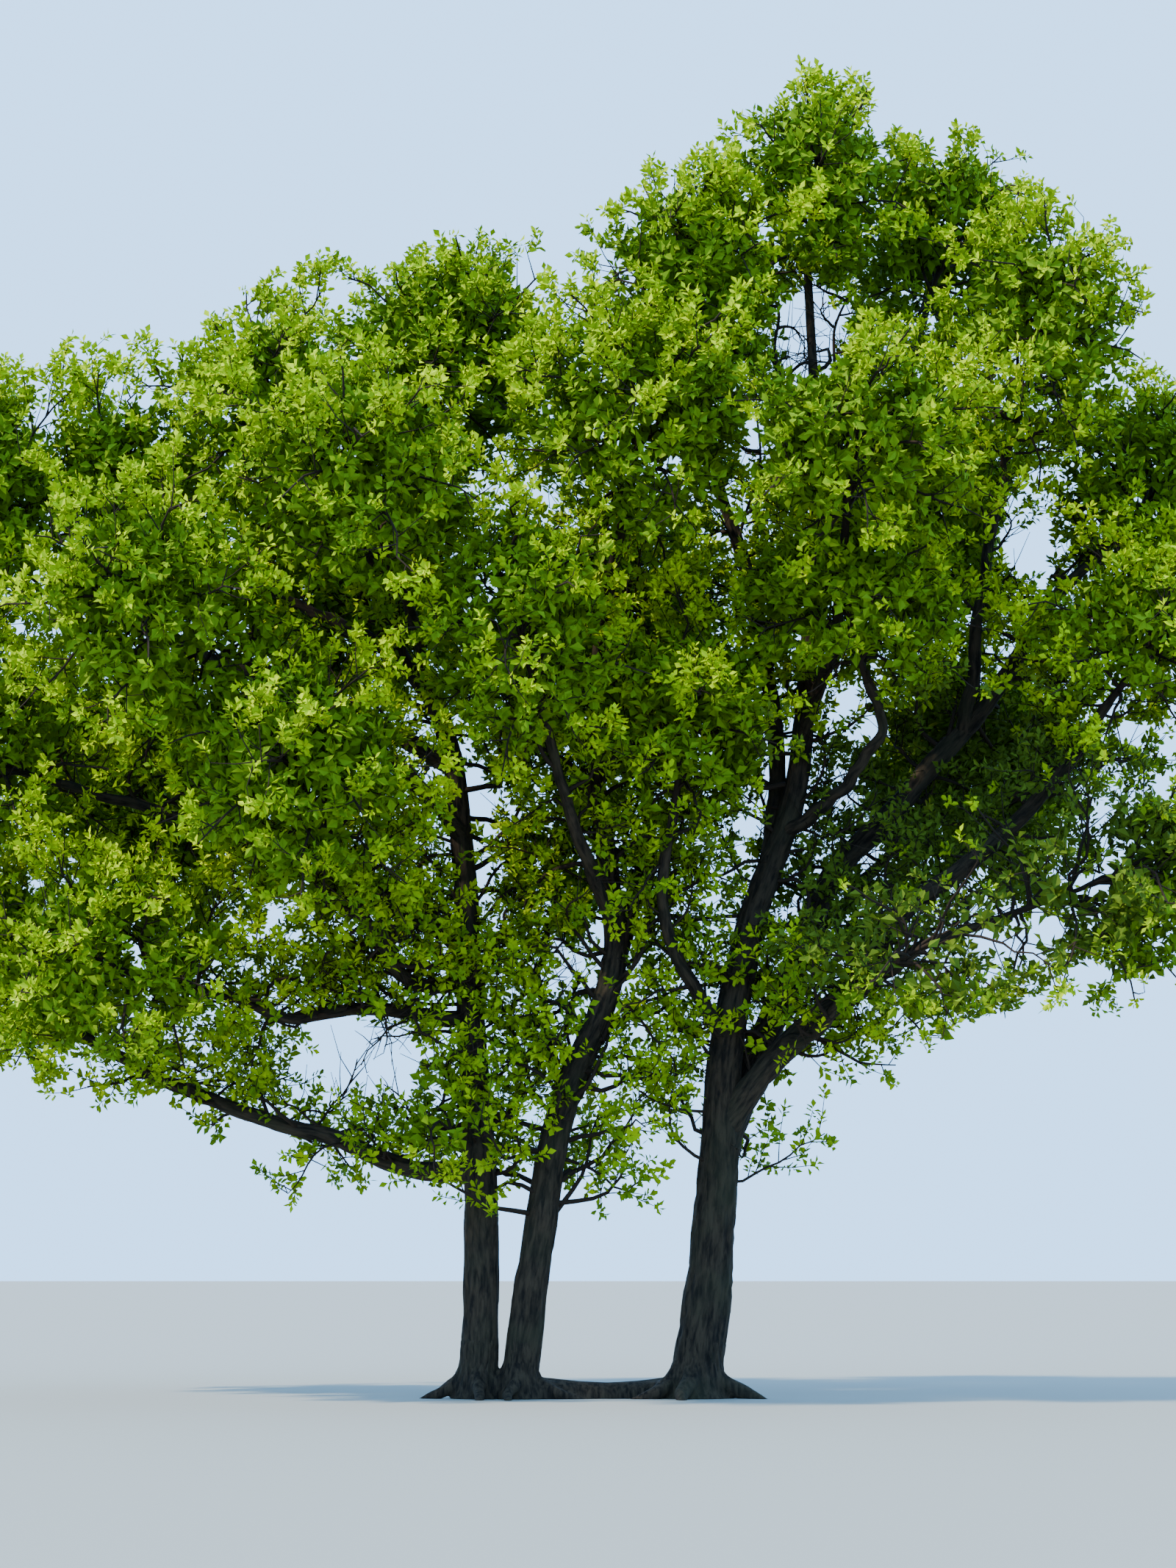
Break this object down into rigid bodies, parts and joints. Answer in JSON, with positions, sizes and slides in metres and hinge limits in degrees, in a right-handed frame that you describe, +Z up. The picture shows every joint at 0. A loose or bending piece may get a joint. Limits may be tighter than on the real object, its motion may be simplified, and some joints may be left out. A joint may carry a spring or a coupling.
{
  "type": "oak tree",
  "caption": "Spreading multi-stemmed oak: leaning stems rise from one low root stool, and each bough on them ends in its own mass of foliage.",
  "frame": {"origin": "in the plane of the flat cut under the root stool, at ground level, between the feet of the stems", "axes": "+Z up out of the ground; +X to the right and +Y away as the widest side of the crown is seen from the front"},
  "size_m": [18.5368, 10.9294, 16.8158],
  "materials": {
    "bark": "rough furrowed bark",
    "foliage": "matt young leaves"
  },
  "bodies": {
    "root": {"root_stool": "bark", "stem_left": "bark", "stem_middle": "bark", "stem_right": "bark", "bough_far_left": "bark", "bough_far_left_high": "bark", "bough_far_left_low": "bark", "bough_left_back": "bark", "bough_left_back_high": "bark", "bough_left_front": "bark", "bough_left_front_high": "bark", "bough_left_front_low": "bark", "bough_left_low": "bark", "bough_left_outer_high": "bark", "bough_left_shoulder": "bark", "bough_middle_back": "bark", "bough_middle_front": "bark", "bough_middle_thin": "bark", "bough_right_back": "bark", "bough_right_back_high": "bark", "bough_right_front_high": "bark", "bough_right_inner": "bark", "bough_right_inner_left": "bark", "bough_right_long": "bark", "bough_right_low": "bark", "bough_right_low_outer": "bark", "bough_right_outer": "bark", "bough_right_shoulder": "bark", "bough_right_top_left": "bark", "bough_right_top_right": "bark", "foliage_far_left": "foliage", "foliage_far_left_high": "foliage", "foliage_far_left_low": "foliage", "foliage_left_back": "foliage", "foliage_left_back_high": "foliage", "foliage_left_front": "foliage", "foliage_left_front_high": "foliage", "foliage_left_front_low": "foliage", "foliage_left_low": "foliage", "foliage_left_outer_high": "foliage", "foliage_left_shoulder": "foliage", "foliage_left_top": "foliage", "foliage_middle": "foliage", "foliage_middle_back": "foliage", "foliage_middle_front": "foliage", "foliage_middle_high": "foliage", "foliage_middle_low": "foliage", "foliage_right_back": "foliage", "foliage_right_back_high": "foliage", "foliage_right_front_high": "foliage", "foliage_right_inner": "foliage", "foliage_right_low": "foliage", "foliage_right_low_outer": "foliage", "foliage_right_outer": "foliage", "foliage_right_outer_high": "foliage", "foliage_right_shoulder": "foliage", "foliage_right_top": "foliage", "foliage_right_top_left": "foliage", "foliage_right_top_right": "foliage", "foliage_stem_cluster": "foliage"}
  },
  "joints": []
}
